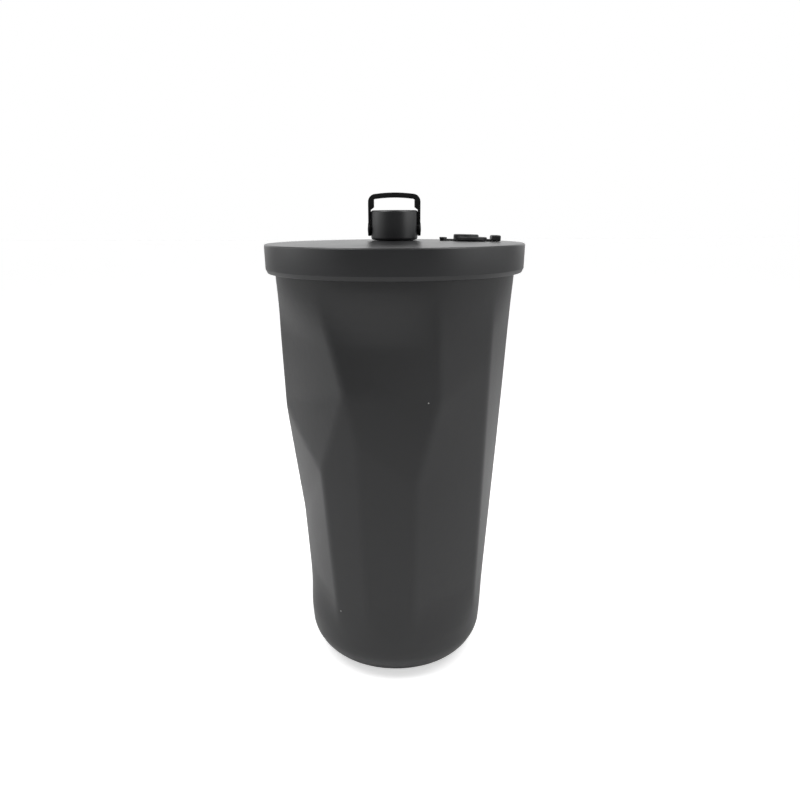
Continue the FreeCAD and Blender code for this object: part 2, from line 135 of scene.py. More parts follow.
class Bench:
    """Modelling steps that the pieces share."""

    @staticmethod
    def clear() -> None:
        """Leaves edit mode with nothing selected."""
        if bpy.context.object is not None and bpy.context.object.mode != "OBJECT":
            bpy.ops.object.mode_set(mode="OBJECT")
        bpy.ops.object.select_all(action="DESELECT")

    @staticmethod
    def adopt(name: str) -> bpy.types.Object:
        """Names the active object and its mesh, and returns it."""
        piece = bpy.context.object
        piece.name = name
        piece.data.name = name
        return piece

    @classmethod
    def activate(cls, piece: bpy.types.Object) -> None:
        """Makes a piece the only selected and the active object."""
        cls.clear()
        piece.select_set(True)
        bpy.context.view_layer.objects.active = piece

    @classmethod
    def edit(cls, piece: bpy.types.Object, mode: str = "VERT") -> None:
        """Opens a piece in edit mode, all selected."""
        cls.activate(piece)
        bpy.ops.object.mode_set(mode="EDIT")
        bpy.ops.mesh.select_mode(type=mode)
        bpy.ops.mesh.select_all(action="SELECT")

    @classmethod
    def pick(cls, piece: bpy.types.Object, kind: str, test: Any) -> None:
        """Selects only the vertices, edges or faces that pass a test, in edit mode.

        Args:
            piece: the piece, open in edit mode.
            kind: "vertices", "edges" or "polygons".
            test: called with each element, true to select it.
        """
        bpy.ops.mesh.select_all(action="DESELECT")
        bpy.ops.object.mode_set(mode="OBJECT")
        for element in getattr(piece.data, kind):
            element.select = bool(test(element))
        bpy.ops.object.mode_set(mode="EDIT")

    @classmethod
    def close(cls, piece: bpy.types.Object, merge: float = 1e-7) -> bpy.types.Object:
        """Merges doubled points, turns the faces outwards and leaves edit mode."""
        bpy.ops.mesh.select_all(action="SELECT")
        bpy.ops.mesh.remove_doubles(threshold=merge)
        bpy.ops.mesh.normals_make_consistent(inside=False)
        cls.clear()
        return piece

    @classmethod
    def shade(cls, piece: bpy.types.Object, angle: float = 32.0) -> bpy.types.Object:
        """Shades a piece smooth except over edges sharper than angle, in degrees."""
        cls.activate(piece)
        bpy.ops.object.shade_smooth_by_angle(angle=math.radians(angle))
        cls.clear()
        return piece

    @classmethod
    def modify(cls, piece: bpy.types.Object, kind: str, **settings: Any) -> bpy.types.Object:
        """Adds a modifier with its settings and applies it."""
        cls.activate(piece)
        modifier = piece.modifiers.new(kind.title(), kind)
        for key, value in settings.items():
            setattr(modifier, key, value)
        bpy.ops.object.modifier_apply(modifier=modifier.name)
        return piece

    @classmethod
    def combine(cls, piece: bpy.types.Object, tool: bpy.types.Object, how: str) -> bpy.types.Object:
        """Cuts or joins a piece with a tool, which is used up.

        Args:
            piece: the piece that stays.
            tool: the closed shape to take away or to add.
            how: "DIFFERENCE" or "UNION".
        """
        cls.modify(piece, "BOOLEAN", object=tool, operation=how, solver="EXACT")
        bpy.data.objects.remove(tool, do_unlink=True)
        return piece

    @classmethod
    def turned(
        cls, name: str, corners: Sequence[Corner], steps: int = 160, closed: bool = True
    ) -> bpy.types.Object:
        """Turns an outline about the upright axis, as on a lathe.

        Args:
            name: the piece's name.
            corners: the outline's corners in millimetres.
            steps: facets round the axis.
            closed: whether the outline is a loop; an open one ends on the axis.

        Returns:
            The finished piece.
        """
        points = rounded(corners, closed)
        cls.clear()
        bpy.ops.mesh.primitive_plane_add(size=MM, location=(0, 0, 0))
        piece = cls.adopt(name)
        cls.edit(piece)
        bpy.ops.mesh.merge(type="CENTER")
        bpy.ops.transform.translate(value=points[0])
        route = points[1:] + ([points[0]] if closed else [])
        here = points[0]
        for point in route:
            bpy.ops.mesh.extrude_vertices_move(TRANSFORM_OT_translate={"value": point - here})
            here = point
        bpy.ops.mesh.select_all(action="SELECT")
        bpy.ops.mesh.remove_doubles(threshold=1e-7)
        bpy.ops.mesh.select_all(action="SELECT")
        bpy.ops.mesh.spin(steps=steps, angle=2 * math.pi, center=(0, 0, 0), axis=(0, 0, 1))
        cls.close(piece)
        return cls.shade(piece)

    @classmethod
    def rod(
        cls, name: str, radius: float, low: float, high: float, x: float = 0.0, bevel: float = 0.0,
        top_radius: Optional[float] = None,
    ) -> bpy.types.Object:
        """Upright round bar or cone with bevelled ends, in millimetres."""
        cls.clear()
        bpy.ops.mesh.primitive_cone_add(
            vertices=64, radius1=radius * MM, radius2=(top_radius or radius) * MM,
            depth=(high - low) * MM, location=(x * MM, 0, (low + high) / 2 * MM),
        )
        piece = cls.adopt(name)
        bpy.ops.object.transform_apply(location=True)
        if bevel:
            cls.modify(piece, "BEVEL", width=bevel * MM, segments=3, limit_method="ANGLE")
        return piece

    @classmethod
    def block(
        cls, name: str, x_from: float, x_to: float, width: float, low: float, high: float,
        bevel: float = 0.0,
    ) -> bpy.types.Object:
        """Bevelled block centred on y = 0, in millimetres."""
        cls.clear()
        bpy.ops.mesh.primitive_cube_add(
            size=1, location=((x_from + x_to) / 2 * MM, 0, (low + high) / 2 * MM)
        )
        piece = cls.adopt(name)
        piece.scale = ((x_to - x_from) * MM, width * MM, (high - low) * MM)
        bpy.ops.object.transform_apply(location=True, scale=True)
        if bevel:
            cls.modify(piece, "BEVEL", width=bevel * MM, segments=3, limit_method="ANGLE")
        return piece


# ------------------------------------------------------------------ shader maths


Value = Union[float, Sequence[float], "Signal", bpy.types.NodeSocket]


class Signal:
    """A number that varies over a surface; Python operators add Math nodes."""

    def __init__(self, recipe: "NodeBench", socket: bpy.types.NodeSocket) -> None:
        """Keeps the socket and the recipe it belongs to."""
        self.recipe = recipe
        self.socket = socket

    def _math(self, operation: str, first: Value, second: Value) -> "Signal":
        """Adds a Math node and returns its result."""
        node = self.recipe.node("ShaderNodeMath", {"operation": operation}, {0: first, 1: second})
        return Signal(self.recipe, node.outputs[0])

    def __add__(self, other: Value) -> "Signal":
        """self + other."""
        return self._math("ADD", self, other)

    def __radd__(self, other: Value) -> "Signal":
        """other + self."""
        return self._math("ADD", other, self)

    def __sub__(self, other: Value) -> "Signal":
        """self - other."""
        return self._math("SUBTRACT", self, other)

    def __rsub__(self, other: Value) -> "Signal":
        """other - self."""
        return self._math("SUBTRACT", other, self)

    def __mul__(self, other: Value) -> "Signal":
        """self * other."""
        return self._math("MULTIPLY", self, other)

    def __rmul__(self, other: Value) -> "Signal":
        """other * self."""
        return self._math("MULTIPLY", other, self)

    def __lt__(self, other: Value) -> "Signal":
        """1 where self is below other, else 0."""
        return self._math("LESS_THAN", self, other)

    def __gt__(self, other: Value) -> "Signal":
        """1 where self is above other, else 0."""
        return self._math("GREATER_THAN", self, other)

    def ramp(self, start: float, end: float) -> "Signal":
        """0 at start to 1 at end, with soft ends."""
        node = self.recipe.node(
            "ShaderNodeMapRange", {"interpolation_type": "SMOOTHSTEP"}, {0: self, 1: start, 2: end}
        )
        return Signal(self.recipe, node.outputs[0])


class NodeBench:
    """A node tree that is built up node by node."""

    def __init__(self, tree: bpy.types.NodeTree) -> None:
        """Empties the tree."""
        self.tree = tree
        self.tree.nodes.clear()

    def node(self, kind: str, settings: dict[str, Any], inputs: dict[Any, Value]) -> bpy.types.Node:
        """Adds a node.

        Args:
            kind: the node's type.
            settings: its properties, set before its sockets.
            inputs: the value or link of each named or numbered input.

        Returns:
            The new node.
        """
        made = self.tree.nodes.new(kind)
        for key, value in settings.items():
            setattr(made, key, value)
        for key, value in inputs.items():
            self.feed(made.inputs[key], value)
        return made

    def feed(self, socket: bpy.types.NodeSocket, value: Value) -> None:
        """Links or sets one input socket."""
        if isinstance(value, Signal):
            self.tree.links.new(value.socket, socket)
        elif isinstance(value, bpy.types.NodeSocket):
            self.tree.links.new(value, socket)
        else:
            socket.default_value = value

    def split(self, vector: bpy.types.NodeSocket) -> list[Signal]:
        """The X, Y and Z of a vector."""
        made = self.node("ShaderNodeSeparateXYZ", {}, {0: vector})
        return [Signal(self, socket) for socket in made.outputs]

    def steps(self, value: Value, stops: Sequence[tuple[float, float]]) -> Signal:
        """Smooth curve through (place, level) stops, both from 0 to 1."""
        made = self.node("ShaderNodeValToRGB", {}, {0: value})
        ramp = made.color_ramp
        ramp.interpolation = "EASE"
        while len(ramp.elements) < len(stops):
            ramp.elements.new(0.5)
        for element, (place, level) in zip(ramp.elements, stops):
            element.position = place
            element.color = (level, level, level, 1)
        return Signal(self, made.outputs[0])


class Recipe(NodeBench):
    """The node tree of one material, ending in a Principled shader."""

    def __init__(self, name: str) -> None:
        """Starts a material with an empty tree."""
        self.material = bpy.data.materials.new(name)
        self.material.use_nodes = True
        super().__init__(self.material.node_tree)
        self.shader = self.node("ShaderNodeBsdfPrincipled", {}, {})
        self.out = self.node("ShaderNodeOutputMaterial", {}, {"Surface": self.shader.outputs[0]})
        self.place = self.node("ShaderNodeTexCoord", {}, {}).outputs["Object"]

    def shade(self, **sockets: Value) -> None:
        """Sets the shader's sockets; an underscore in a name stands for a space."""
        for key, value in sockets.items():
            self.feed(self.shader.inputs[key.replace("_", " ")], value)

    def noise(self, size_mm: float, detail: float = 2.0, stretch: Optional[Sequence[float]] = None) -> Signal:
        """Noise of 0 to 1 with features of a given size.

        Args:
            size_mm: size of the features.
            detail: octaves.
            stretch: scale along X, Y and Z before the noise.
        """
        place = self.place
        if stretch is not None:
            place = self.node("ShaderNodeMapping", {}, {"Vector": place, "Scale": stretch}).outputs[0]
        made = self.node(
            "ShaderNodeTexNoise", {}, {"Vector": place, "Scale": 1 / (size_mm * MM), "Detail": detail}
        )
        return Signal(self, made.outputs[0])

    def specks(self, cell_mm: float, share: float, size_mm: float) -> Signal:
        """Sparse round specks, 1 on a speck.

        Args:
            cell_mm: grid size that holds at most one speck.
            share: share of cells with a speck.
            size_mm: radius of a speck.
        """
        cells = self.node(
            "ShaderNodeTexVoronoi", {}, {"Vector": self.place, "Scale": 1 / (cell_mm * MM)}
        )
        near = Signal(self, cells.outputs["Distance"]) < size_mm / cell_mm
        lucky = self.node("ShaderNodeSeparateColor", {}, {0: cells.outputs["Color"]})
        return near * (Signal(self, lucky.outputs[0]) < share)

    def blend(self, amount: Value, first: Sequence[float], second: Sequence[float]) -> bpy.types.NodeSocket:
        """Colour between two colours."""
        made = self.node(
            "ShaderNodeMix", {"data_type": "RGBA"}, {0: amount, 6: (*first, 1), 7: (*second, 1)}
        )
        return made.outputs[2]

    def dusted(
        self, amount: Value, under: bpy.types.NodeSocket, dust: Sequence[float]
    ) -> bpy.types.NodeSocket:
        """Colour of a surface with dust where amount is 1."""
        made = self.node(
            "ShaderNodeMix", {"data_type": "RGBA"}, {0: amount, 6: under, 7: (*dust, 1)}
        )
        return made.outputs[2]

    def relief(self, height: Signal, depth_mm: float) -> None:
        """Bumps the surface by a height of 0 to 1 times depth_mm."""
        made = self.node(
            "ShaderNodeBump", {}, {"Height": height, "Distance": depth_mm * MM, "Strength": 1.0}
        )
        self.shade(Normal=made.outputs[0])


# ------------------------------------------------------------------ finishes


@dataclass(frozen=True)
class PowderCoat:
    """Fine-textured matte black powder coat with a little settled dust."""

    name: str = "powder_coat"
    dark: tuple[float, float, float] = (0.0068, 0.0070, 0.0078)
    light: tuple[float, float, float] = (0.0098, 0.0100, 0.0108)
    dust: tuple[float, float, float] = (0.32, 0.32, 0.31)
    roughness: float = 0.37
    grain_mm: float = 0.32
    grain_depth_mm: float = 0.018
    cloud_mm: float = 24.0
    peel_mm: float = 2.6
    dust_cell_mm: float = 11.0
    dust_share: float = 0.08
    dust_mm: float = 0.30

    def material(self) -> bpy.types.Material:
        """Builds the material."""
        recipe = Recipe(self.name)
        grain = recipe.noise(self.grain_mm, 3)
        cloud = recipe.noise(self.cloud_mm, 2)
        peel = recipe.noise(self.peel_mm, 1)
        dust = recipe.specks(self.dust_cell_mm, self.dust_share, self.dust_mm)
        tone = recipe.blend(cloud * 0.7 + grain * 0.3, self.dark, self.light)
        recipe.shade(
            Base_Color=recipe.dusted(dust, tone, self.dust),
            Roughness=self.roughness + (grain - 0.5) * 0.10 + (cloud - 0.5) * 0.06,
        )
        recipe.relief(grain + peel * 1.5, self.grain_depth_mm)
        return recipe.material


@dataclass(frozen=True)
class MouldedPlastic:
    """Moulded black plastic with a faint grain, rubbed patches and sparse dust."""

    name: str
    tone: tuple[float, float, float] = (0.0075, 0.0078, 0.0086)
    roughness: float = 0.36
    shine: float = 0.5
    rubbing: float = 1.35
    grain_mm: float = 0.30
    grain_depth_mm: float = 0.006
    cloud_mm: float = 14.0
    dust: tuple[float, float, float] = (0.25, 0.25, 0.24)
    dust_cell_mm: float = 6.0
    dust_share: float = 0.05
    dust_mm: float = 0.16

    def material(self) -> bpy.types.Material:
        """Builds the material."""
        recipe = Recipe(self.name)
        grain = recipe.noise(self.grain_mm, 3)
        cloud = recipe.noise(self.cloud_mm, 2)
        rubbed = tuple(self.rubbing * part for part in self.tone)
        colour = recipe.blend(cloud * 0.8 + grain * 0.2, self.tone, rubbed)
        dust = recipe.specks(self.dust_cell_mm, self.dust_share, self.dust_mm)
        recipe.shade(
            Base_Color=recipe.dusted(dust, colour, self.dust),
            Roughness=self.roughness + (cloud - 0.5) * 0.10 + (grain - 0.5) * 0.08,
            Specular_IOR_Level=self.shine,
        )
        recipe.relief(grain, self.grain_depth_mm)
        return recipe.material


@dataclass(frozen=True)
class Silicone:
    """Soft moulded silicone with a dry, slightly dusty skin."""

    name: str
    tone: tuple[float, float, float] = (0.006, 0.006, 0.0065)
    lift: tuple[float, float, float] = (0.012, 0.012, 0.0125)
    roughness: float = 0.52
    clear: float = 0.0
    bloom_mm: float = 3.0
    grain_mm: float = 0.18
    grain_depth_mm: float = 0.006

    def material(self) -> bpy.types.Material:
        """Builds the material."""
        recipe = Recipe(self.name)
        bloom = recipe.noise(self.bloom_mm, 4)
        grain = recipe.noise(self.grain_mm, 2)
        recipe.shade(
            Base_Color=recipe.blend(bloom, self.tone, self.lift),
            Roughness=self.roughness + (bloom - 0.5) * 0.12,
            Transmission_Weight=self.clear,
            IOR=1.43,
        )
        recipe.relief(grain, self.grain_depth_mm)
        return recipe.material


@dataclass(frozen=True)
class BrushedSteel:
    """Stainless steel with brush lines around the axis."""

    name: str
    tone: tuple[float, float, float] = (0.56, 0.55, 0.53)
    shade: tuple[float, float, float] = (0.42, 0.415, 0.40)
    roughness: float = 0.30
    stretch: tuple[float, float, float] = (0.06, 0.06, 4.0)
    line_mm: float = 0.5
    line_depth_mm: float = 0.004
    stain_mm: float = 9.0

    def material(self) -> bpy.types.Material:
        """Builds the material."""
        recipe = Recipe(self.name)
        lines = recipe.noise(self.line_mm, 4, self.stretch)
        stain = recipe.noise(self.stain_mm, 3)
        recipe.shade(
            Base_Color=recipe.blend(lines * 0.6 + stain * 0.4, self.shade, self.tone),
            Metallic=1.0,
            Roughness=self.roughness + (lines - 0.5) * 0.16,
        )
        recipe.relief(lines, self.line_depth_mm)
        return recipe.material


@dataclass(frozen=True)
class Foam:
    """Closed-cell insulating foam."""

    name: str = "foam"
    dark: tuple[float, float, float] = (0.62, 0.61, 0.57)
    light: tuple[float, float, float] = (0.8, 0.79, 0.75)
    roughness: float = 0.9
    cell_mm: float = 0.8
    cell_depth_mm: float = 0.08

    def material(self) -> bpy.types.Material:
        """Builds the material."""
        recipe = Recipe(self.name)
        cells = recipe.noise(self.cell_mm, 2)
        recipe.shade(Base_Color=recipe.blend(cells, self.dark, self.light), Roughness=self.roughness)
        recipe.relief(cells, self.cell_depth_mm)
        return recipe.material


@dataclass(frozen=True)
class Paper:
    """Plain pale studio floor, which the camera sees a little brighter than it is lit."""

    name: str = "studio_floor"
    dark: tuple[float, float, float] = (0.8, 0.8, 0.8)
    light: tuple[float, float, float] = (0.84, 0.84, 0.84)
    roughness: float = 0.9
    fibre_mm: float = 2.0
    lift: float = 0.55

    def material(self) -> bpy.types.Material:
        """Builds the material."""
        recipe = Recipe(self.name)
        fibre = recipe.noise(self.fibre_mm, 3)
        recipe.shade(Base_Color=recipe.blend(fibre, self.dark, self.light), Roughness=self.roughness)
        seen = recipe.node("ShaderNodeLightPath", {}, {}).outputs["Is Camera Ray"]
        glow = recipe.node("ShaderNodeEmission", {}, {1: Signal(recipe, seen) * self.lift})
        both = recipe.node("ShaderNodeAddShader", {}, {0: recipe.shader.outputs[0], 1: glow.outputs[0]})
        recipe.feed(recipe.out.inputs["Surface"], both.outputs[0])
        return recipe.material


class FinishKit:
    """The finishes, each built once."""

    def __init__(self) -> None:
        """Builds every material."""
        self.coat = PowderCoat().material()
        self.lid = MouldedPlastic("lid_black").material()
        self.plug = MouldedPlastic("plug_black", roughness=0.45).material()
        self.cap = MouldedPlastic("cap_black", dust_share=0.10).material()
        self.loop = MouldedPlastic(
            "loop_black", tone=(0.003, 0.003, 0.0034), roughness=0.5, shine=0.22
        ).material()
        self.silicone = Silicone("black_silicone").material()
        self.gasket = Silicone(
            "gasket_silicone", tone=(0.42, 0.43, 0.43), lift=(0.5, 0.5, 0.5), roughness=0.4, clear=0.3
        ).material()
        self.steel = BrushedSteel("liner_steel").material()
        self.pin = BrushedSteel("pin_steel", tone=(0.2, 0.2, 0.2), shade=(0.12, 0.12, 0.12)).material()
        self.foam = Foam().material()
        self.glass = Silicone(
            "solder_glass", tone=(0.2, 0.22, 0.2), lift=(0.3, 0.32, 0.3), roughness=0.1, clear=0.4
        ).material()
        self.paper = Paper().material()


def dress(
    piece: bpy.types.Object, finish: bpy.types.Material, body: Optional[Body], slot: Slot, *nodes: str
) -> bpy.types.Object:
    """Gives a finished piece its material and body, and hides the CAD nodes it stands for.

    Args:
        piece: the finished piece.
        finish: its material.
        body: the body it moves with, or None to leave it attached to no body.
        slot: not used.
        nodes: the CAD nodes it replaces.

    Returns:
        The piece.
    """
    piece.data.materials.clear()
    piece.data.materials.append(finish)
    if body is not None:
        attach(piece, body.value)
    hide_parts(*nodes)
    log.info("%s: %d faces", piece.name, len(piece.data.polygons))
    return piece


# ------------------------------------------------------------------ cup


CORNERS: dict[str, tuple[float, float, float]] = {
    "T0": (-82, 158, 0.0), "T1": (-38, 158, 0.0), "T2": (18.5, 158, 0.0), "T3": (50, 158, 0.0),
    "T4": (84, 158, 0.0), "T5": (115, 158, 0.0), "T6": (150, 158, 0.0), "T7": (188, 158, 0.0),
    "T8": (232, 158, 0.0),
    "A0": (-84, 107, 2.3), "A1": (-24, 119, 0.9), "A2": (20.5, 116, 0.9), "A3": (51, 129, 0.5),
    "A4": (84, 112, 0.3), "A5": (115, 109, 1.0), "A6": (150, 123, 0.8), "A7": (190, 110, 1.2),
    "A8": (232, 122, 0.8),
    "M1": (-18.5, 101, 0.4), "B1": (-41, 88, 0.8), "B2": (9.8, 85, 0.6), "B3": (54, 87, 0.4),
    "B4": (85, 91, 0.4), "B5": (131, 88, 0.6), "B6": (176, 82, 0.6), "B7": (218, 87, 0.6),
    "C0": (-94, 58, 0.0),
    "E0": (-94, 12, 0.0), "E1": (-37.5, 12, 0.0), "E2": (-17, 12, 0.0), "E3": (10, 12, 0.0),
    "E4": (61, 12, 0.0), "E5": (86, 12, 0.0), "E6": (130, 12, 0.0), "E7": (175, 12, 0.0),
    "E8": (220, 12, 0.0),
}
FACETS: list[str] = [
    "T0 T1 A1 A0", "T1 A1 A2 T2", "T2 A2 A3 T3", "T3 A3 A4 T4", "T4 A4 A5 T5", "T5 A5 A6 T6",
    "T6 A6 A7 T7", "T7 A7 A8 T8", "T8 A8 A0 T0",
    "A0 A1 B1", "A1 M1 B1", "A1 A2 B2 M1", "A2 A3 B3 B2", "A3 A4 B4 B3", "A4 A5 B5 B4",
    "A5 A6 B5", "A6 A7 B6 B5", "A7 A8 B7 B6", "A8 A0 B7", "A0 C0 B7", "A0 B1 C0",
    "C0 B1 E1 E0", "B1 M1 E2 E1", "M1 B2 E3 E2", "B2 B3 E4 E3", "B3 B4 E5 E4", "B4 B5 E6 E5",
    "B5 B6 E7 E6", "B6 B7 E8 E7", "B7 C0 E0 E8",
]


@dataclass
class FacetedWall:
    """The cup's tapered wall with its soft facets, in millimetres.

    CORNERS gives each ridge corner as (azimuth in degrees from the front, height, stand-off
    from the plain cone), and FACETS the corners of each facet.
    """

    foot_z: float = 0.5
    low_r: float = 35.3
    high_r: float = 45.35
    high_z: float = 158.2
    flatness: float = 0.8
    crease: float = 1.7
    fade_top: tuple[float, float] = (156.5, 134.0)
    fade_foot: tuple[float, float] = (17.0, 36.0)

    def cone(self, z: np.ndarray) -> np.ndarray:
        """Radius of the plain cone at a height."""
        return self.low_r + (self.high_r - self.low_r) * (z - self.foot_z) / (self.high_z - self.foot_z)

    def spot(self, name: str) -> np.ndarray:
        """A ridge corner in space."""
        azimuth, z, stand = CORNERS[name]
        angle = math.radians(azimuth)
        radius = self.cone(z) + stand
        return np.array((radius * math.sin(angle), -radius * math.cos(angle), z))

    def patches(self) -> list[tuple[np.ndarray, ...]]:
        """Facets as four-sided patches a + u e + v f + u v g, bowed where their corners are not level."""
        found = []
        for facet in FACETS:
            spots = [self.spot(name) for name in facet.split()]
            first, second, third = spots[:3]
            fourth = spots[3] if len(spots) == 4 else first
            found.append((first, second - first, fourth - first, third - second - fourth + first))
        return found

    def flat(self, angle: np.ndarray, z: np.ndarray) -> np.ndarray:
        """Distance from the axis to the facets.

        Args:
            angle: azimuths in radians.
            z: heights.

        Returns:
            The radius for each azimuth and height.
        """
        out = np.stack((np.sin(angle), -np.cos(angle)))
        best = np.full(angle.shape, -1e9)
        found = self.cone(z)
        tiny = 1e-9
        for patch in self.patches():
            side = [out[0] * part[1] - out[1] * part[0] for part in patch]
            _, e, f, g = (part[2] for part in patch)
            rise = z - patch[0][2]
            square = side[1] * g - e * side[3]
            linear = side[0] * g + side[1] * f + rise * side[3] - e * side[2]
            constant = side[0] * f + rise * side[2]
            under = linear ** 2 - 4 * square * constant
            half = -(linear + np.copysign(np.sqrt(np.maximum(under, 0)), linear)) / 2
            for top, bottom in ((half, square), (constant, half)):
                sound = (under >= 0) & (np.abs(bottom) > tiny)
                u = top / np.where(sound, bottom, 1)
                low, across = f + u * g, side[2] + u * side[3]
                steep = np.abs(low) > np.abs(across)
                divisor = np.where(steep, low, across)
                sound &= np.abs(divisor) > tiny
                v = np.where(steep, rise - u * e, -(side[0] + u * side[1])) / np.where(sound, divisor, 1)
                inside = np.minimum(np.minimum(u, v), np.minimum(1 - u, 1 - v))
                spot = [patch[0][k] + u * patch[1][k] + v * patch[2][k] + u * v * patch[3][k] for k in (0, 1)]
                reach = out[0] * spot[0] + out[1] * spot[1]
                better = sound & (reach > 0) & (inside > best)
                best = np.where(better, inside, best)
                found = np.where(better, reach, found)
        return found

    @staticmethod
    def ease(value: np.ndarray, start: float, end: float) -> np.ndarray:
        """Smooth step from 0 at start to 1 at end."""
        t = np.clip((value - start) / (end - start), 0, 1)
        return t * t * (3 - 2 * t)

    def radius(self, angle: np.ndarray, z: np.ndarray) -> np.ndarray:
        """Outside radius of the wall, with rounded ridges."""
        weight = self.flatness * self.ease(z, *self.fade_top) * self.ease(z, *self.fade_foot)
        total, count = np.zeros_like(angle), 0
        for share in (0.0, 0.5, 1.0):
            for k in range(1 if share == 0 else 8):
                turn = 2 * math.pi * k / 8 + share
                step = self.crease * share
                total += self.flat(angle + step * math.cos(turn) / self.cone(z), z + step * math.sin(turn))
                count += 1
        return self.cone(z) + weight * (total / count - self.cone(z))


@dataclass
class Cup:
    """The double-walled cup."""

    wall: FacetedWall
    columns: int = 256
    wall_mm: float = 0.6
    edge_r: float = 13.0
    edge_rows: int = 14
    row_mm: float = 1.25
    liner_wall: float = 0.5
    floor_r: float = 27.4
    shoulder_r: float = 37.2
    shoulder_z: float = 144.0
    mouth_r: float = 42.4
    mouth_z: float = 150.4
    lip_in: float = 44.1
    lip_out: float = 45.95
    lip_gap: float = 0.02
    pad_r: float = 22.4
    pad_grooves: tuple[float, ...] = (2.4, 7.4, 12.4)
    groove_depth: float = 0.22
    ridge_angle: float = 40.0

    def rings(self, top_z: float) -> list[tuple[Optional[float], float]]:
        """Rings of the outside skin from the base edge up.

        Args:
            top_z: height of the highest ring.

        Returns:
            (radius, height) in millimetres; the radius is None on the faceted wall.
        """
        wall = self.wall
        lean = math.atan((wall.high_r - wall.low_r) / (wall.high_z - wall.foot_z))
        centre_z = wall.foot_z + self.edge_r
        centre_r = float(wall.cone(centre_z)) - self.edge_r / math.cos(lean)
        rings: list[tuple[Optional[float], float]] = []
        for k in range(self.edge_rows + 1):
            turn = -math.pi / 2 + (math.pi / 2 - lean) * k / self.edge_rows
            rings.append((centre_r + self.edge_r * math.cos(turn), centre_z + self.edge_r * math.sin(turn)))
        z = rings[-1][1]
        while z < top_z - self.row_mm:
            z += self.row_mm
            rings.append((None, z))
        rings[-1] = (None, top_z)
        return rings

    def build_shell(self, finish: bpy.types.Material) -> bpy.types.Object:
        """Faceted outer shell: a tube cut into rings, shaped to the wall and thickened."""
        rings = self.rings(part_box("outer_shell")[1].z / MM)
        Bench.clear()
        bpy.ops.mesh.primitive_cylinder_add(
            vertices=self.columns, radius=self.wall.high_r * MM, depth=1.0, end_fill_type="NOTHING"
        )
        shell = Bench.adopt("faceted_shell")
        Bench.edit(shell, "EDGE")
        points = shell.data.vertices

        def upright(edge: bpy.types.MeshEdge) -> bool:
            """Whether an edge runs from the tube's foot to its top."""
            low, high = edge.vertices
            return abs(points[low].co.z - points[high].co.z) > 0.5

        Bench.pick(shell, "edges", upright)
        bpy.ops.mesh.subdivide(number_cuts=len(rings) - 2)
        Bench.clear()
        place = np.array([v.co for v in shell.data.vertices])
        row = np.rint((place[:, 2] + 0.5) * (len(rings) - 1)).astype(int)
        angle = np.arctan2(place[:, 0], -place[:, 1])
        z = np.array([ring[1] for ring in rings])[row]
        fixed = np.array([ring[0] if ring[0] is not None else np.nan for ring in rings])[row]
        radius = np.where(np.isnan(fixed), self.wall.radius(angle, z), fixed)
        shaped = np.stack((radius * np.sin(angle), -radius * np.cos(angle), z), -1) * MM
        shell.data.vertices.foreach_set("co", shaped.ravel())
        shell.data.update()
        Bench.edit(shell)
        Bench.close(shell)
        Bench.modify(shell, "SOLIDIFY", thickness=self.wall_mm * MM, offset=-1, use_even_offset=False)
        Bench.shade(shell, self.ridge_angle)
        return dress(shell, finish, Body.CUP, Slot.POWDER_COAT, "outer_shell")

    def build_liner(self, finish: bpy.types.Material) -> bpy.types.Object:
        """Steel liner with its shoulder, mouth and rolled lip."""
        low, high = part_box("inner_liner")
        floor, lip, seat = low.z / MM, high.z / MM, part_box("outer_shell")[1].z / MM
        thin = self.liner_wall
        liner = Bench.turned("steel_liner", [
            Corner(0, floor + thin), Corner(self.floor_r, floor + thin, 9, 12),
            Corner(self.shoulder_r, self.shoulder_z, 4, 8), Corner(self.mouth_r, self.mouth_z, 3, 8),
            Corner(self.lip_in, lip, 0.45), Corner(self.lip_out, lip, 0.45),
            Corner(self.lip_out, seat + self.lip_gap, 0.1, 2),
            Corner(self.lip_in + thin, seat + self.lip_gap),
            Corner(self.mouth_r + thin, self.mouth_z, 3.2, 8),
            Corner(self.shoulder_r + thin, self.shoulder_z, 3.8, 8),
            Corner(self.floor_r + thin, floor, 9.4, 12), Corner(0, floor),
        ], closed=False)
        return dress(liner, finish, Body.CUP, Slot.LINER_STEEL, "inner_liner")

    def build_pad(self, finish: bpy.types.Material) -> bpy.types.Object:
        """Silicone base pad with moulded rings."""
        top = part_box("base_pad")[1].z / MM
        corners = [Corner(0, top), Corner(self.pad_r, top, 0.08, 2), Corner(self.pad_r, 0, 0.2, 4)]
        for inset in self.pad_grooves:
            ring_r = self.pad_r - inset
            corners += [Corner(ring_r, 0, 0.08, 2), Corner(ring_r - 0.3, self.groove_depth, 0.08, 2),
                        Corner(ring_r - 0.8, self.groove_depth, 0.08, 2), Corner(ring_r - 1.1, 0, 0.08, 2)]
        corners.append(Corner(0, 0))
        pad = Bench.turned("base_pad_moulded", corners, closed=False)
        return dress(pad, finish, Body.CUP, Slot.SILICONE, "base_pad")


# ------------------------------------------------------------------ lid


